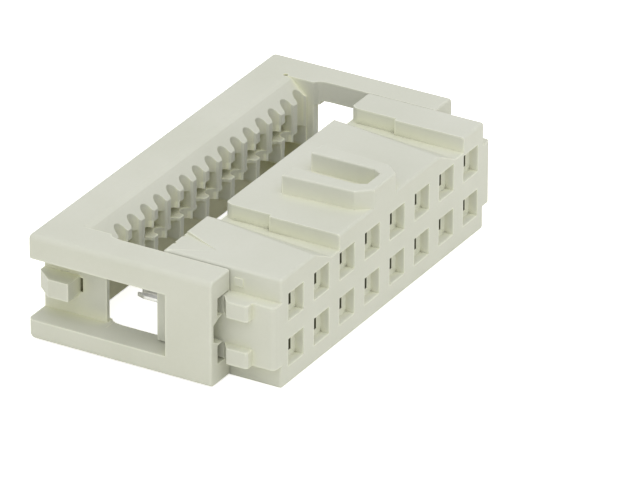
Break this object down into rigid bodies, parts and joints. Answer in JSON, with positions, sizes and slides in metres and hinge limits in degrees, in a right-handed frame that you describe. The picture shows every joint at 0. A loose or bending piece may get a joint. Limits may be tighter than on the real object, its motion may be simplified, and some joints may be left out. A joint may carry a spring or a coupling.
{
  "type": "flat cable socket connector",
  "caption": "Two-row female socket for flat ribbon cable, with a polarising key, a pin 1 arrow, tin-plated piercing contacts and a snap-down cable cover shown open.",
  "frame": {"origin": "centre of the contact grid on the mating face", "axes": "+X along the rows away from the pin 1 end, +Y from the mating face to the cable cover, +Z to the side with the key and the arrow"},
  "size_m": [0.0244, 0.0137, 0.0071],
  "materials": {
    "body_plastic": "pale grey-beige moulded thermoplastic, fine satin texture",
    "cover_plastic": "pale grey-beige moulded thermoplastic, fine satin texture",
    "tin_plate": "bright tin plate on stamped strip"
  },
  "bodies": {
    "housing": {"housing": "body_plastic", "contact_01": "tin_plate", "contact_02": "tin_plate", "contact_03": "tin_plate", "contact_04": "tin_plate", "contact_05": "tin_plate", "contact_06": "tin_plate", "contact_07": "tin_plate", "contact_08": "tin_plate", "contact_09": "tin_plate", "contact_10": "tin_plate", "contact_11": "tin_plate", "contact_12": "tin_plate", "contact_13": "tin_plate", "contact_14": "tin_plate", "contact_15": "tin_plate", "contact_16": "tin_plate"},
    "cover": {"cover": "cover_plastic"}
  },
  "joints": [
    {"name": "cover_slide", "type": "slide", "parent": "housing", "child": "cover", "axis": [0, -1, 0], "range_m": [0, 0.0028]}
  ]
}
